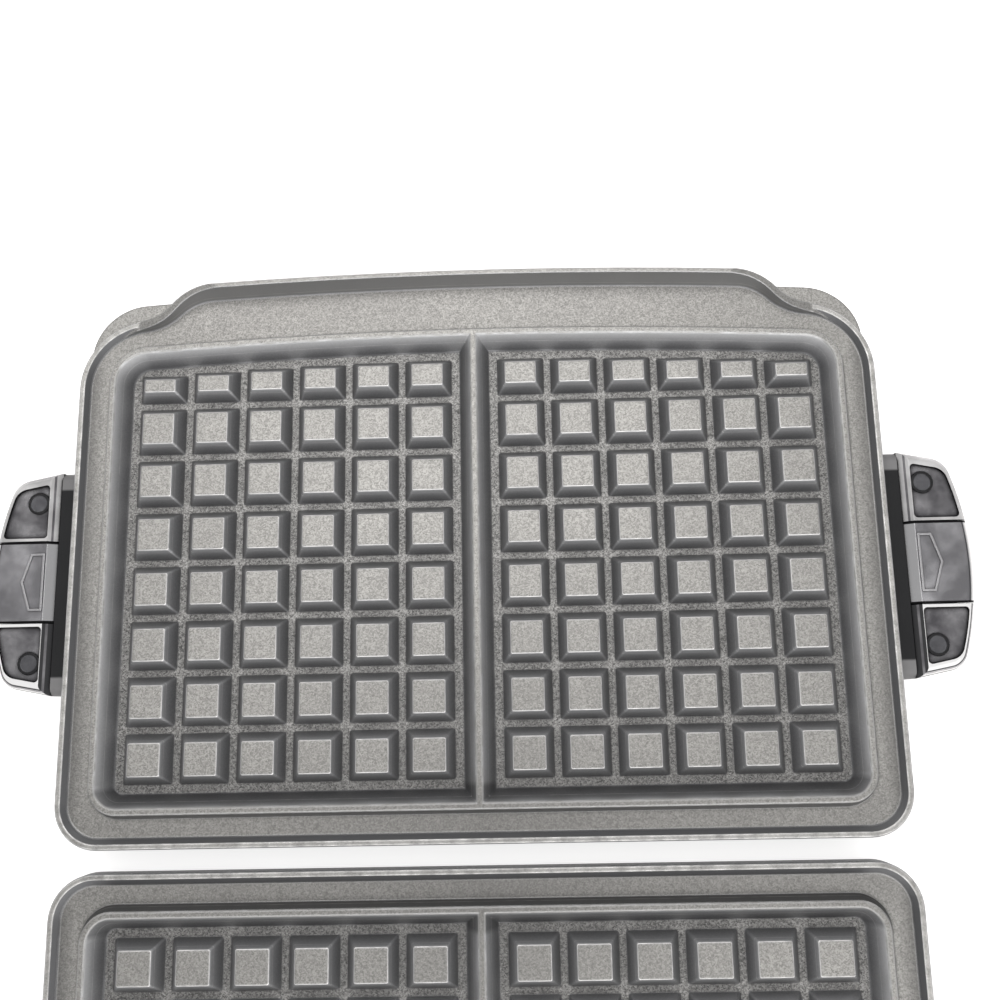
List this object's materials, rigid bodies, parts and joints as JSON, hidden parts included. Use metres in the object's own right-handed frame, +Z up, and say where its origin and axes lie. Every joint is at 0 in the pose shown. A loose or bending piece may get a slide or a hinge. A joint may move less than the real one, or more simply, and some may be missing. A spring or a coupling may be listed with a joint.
{
  "type": "waffle plate set",
  "caption": "Matching removable waffle plates lying open back to back, with grids of square teeth, a pouring lip and side handles with spring-loaded release tabs.",
  "frame": {"origin": "middle of the lower plate's resting face, on the surface it lies on", "axes": "+X across the plates to the right, +Y to the lower plate's bowed front with the lip, +Z up"},
  "size_m": [0.395, 0.4522, 0.0334],
  "materials": {
    "nonstick_casting": "cast aluminium under a dark, satin, finely speckled nonstick coat",
    "grip_plastic": "smoky grey glossy plastic with a paler border",
    "tab_plastic": "smoky grey glossy plastic with a paler bevel",
    "bracket_plastic": "black heat-resistant plastic, matte",
    "plug_plastic": "satin black",
    "block_plastic": "dark brown heat-resistant moulding",
    "cover_sheet": "black stove enamel on sheet steel",
    "element_sheath": "heat-dulled steel sheath",
    "plated_steel": "zinc plated",
    "spring_steel": "spring wire",
    "contact_brass": "bright contact",
    "cutout_case": "pressed case"
  },
  "bodies": {
    "lower_plate": {"lower_waffle_plate": "nonstick_casting", "lower_heating_element": "element_sheath", "lower_element_straps": "plated_steel", "lower_strap_screws": "plated_steel", "lower_terminal_block": "block_plastic", "lower_contact_blades": "contact_brass", "lower_thermal_cutout": "cutout_case", "lower_cutout_screws": "plated_steel", "lower_base_cover": "cover_sheet", "lower_cover_screws": "plated_steel", "lower_left_handle_bracket": "bracket_plastic", "lower_left_front_grip_end": "grip_plastic", "lower_left_rear_grip_end": "grip_plastic", "lower_left_return_springs": "spring_steel", "lower_left_screw_plugs": "plug_plastic", "lower_left_handle_screws": "plated_steel", "lower_right_handle_bracket": "bracket_plastic", "lower_right_front_grip_end": "grip_plastic", "lower_right_rear_grip_end": "grip_plastic", "lower_right_return_springs": "spring_steel", "lower_right_screw_plugs": "plug_plastic", "lower_right_handle_screws": "plated_steel"},
    "upper_plate": {"upper_waffle_plate": "nonstick_casting", "upper_heating_element": "element_sheath", "upper_element_straps": "plated_steel", "upper_strap_screws": "plated_steel", "upper_terminal_block": "block_plastic", "upper_contact_blades": "contact_brass", "upper_thermal_cutout": "cutout_case", "upper_cutout_screws": "plated_steel", "upper_base_cover": "cover_sheet", "upper_cover_screws": "plated_steel", "upper_left_handle_bracket": "bracket_plastic", "upper_left_front_grip_end": "grip_plastic", "upper_left_rear_grip_end": "grip_plastic", "upper_left_return_springs": "spring_steel", "upper_left_screw_plugs": "plug_plastic", "upper_left_handle_screws": "plated_steel", "upper_right_handle_bracket": "bracket_plastic", "upper_right_front_grip_end": "grip_plastic", "upper_right_rear_grip_end": "grip_plastic", "upper_right_return_springs": "spring_steel", "upper_right_screw_plugs": "plug_plastic", "upper_right_handle_screws": "plated_steel"},
    "lower_left_release": {"lower_left_release_tab": "tab_plastic", "lower_left_latch_bolt": "plated_steel"},
    "lower_right_release": {"lower_right_release_tab": "tab_plastic", "lower_right_latch_bolt": "plated_steel"},
    "upper_left_release": {"upper_left_release_tab": "tab_plastic", "upper_left_latch_bolt": "plated_steel"},
    "upper_right_release": {"upper_right_release_tab": "tab_plastic", "upper_right_latch_bolt": "plated_steel"}
  },
  "joints": [
    {"name": "closing_hinge", "type": "hinge", "parent": "lower_plate", "child": "upper_plate", "pos_m": [0, -0.11799, 0.03025], "axis": [-1, 0, 0], "range_deg": [0, 180]},
    {"name": "lower_left_release_slide", "type": "slide", "parent": "lower_plate", "child": "lower_left_release", "axis": [-1, 0, 0], "range_m": [0, 0.006], "stiffness_N_per_m": 400, "springref_m": -0.004, "deforming": ["lower_left_return_springs"]},
    {"name": "lower_right_release_slide", "type": "slide", "parent": "lower_plate", "child": "lower_right_release", "axis": [1, 0, 0], "range_m": [0, 0.006], "stiffness_N_per_m": 400, "springref_m": -0.004, "deforming": ["lower_right_return_springs"]},
    {"name": "upper_left_release_slide", "type": "slide", "parent": "upper_plate", "child": "upper_left_release", "axis": [-1, 0, 0], "range_m": [0, 0.006], "stiffness_N_per_m": 400, "springref_m": -0.004, "deforming": ["upper_left_return_springs"]},
    {"name": "upper_right_release_slide", "type": "slide", "parent": "upper_plate", "child": "upper_right_release", "axis": [1, 0, 0], "range_m": [0, 0.006], "stiffness_N_per_m": 400, "springref_m": -0.004, "deforming": ["upper_right_return_springs"]}
  ]
}
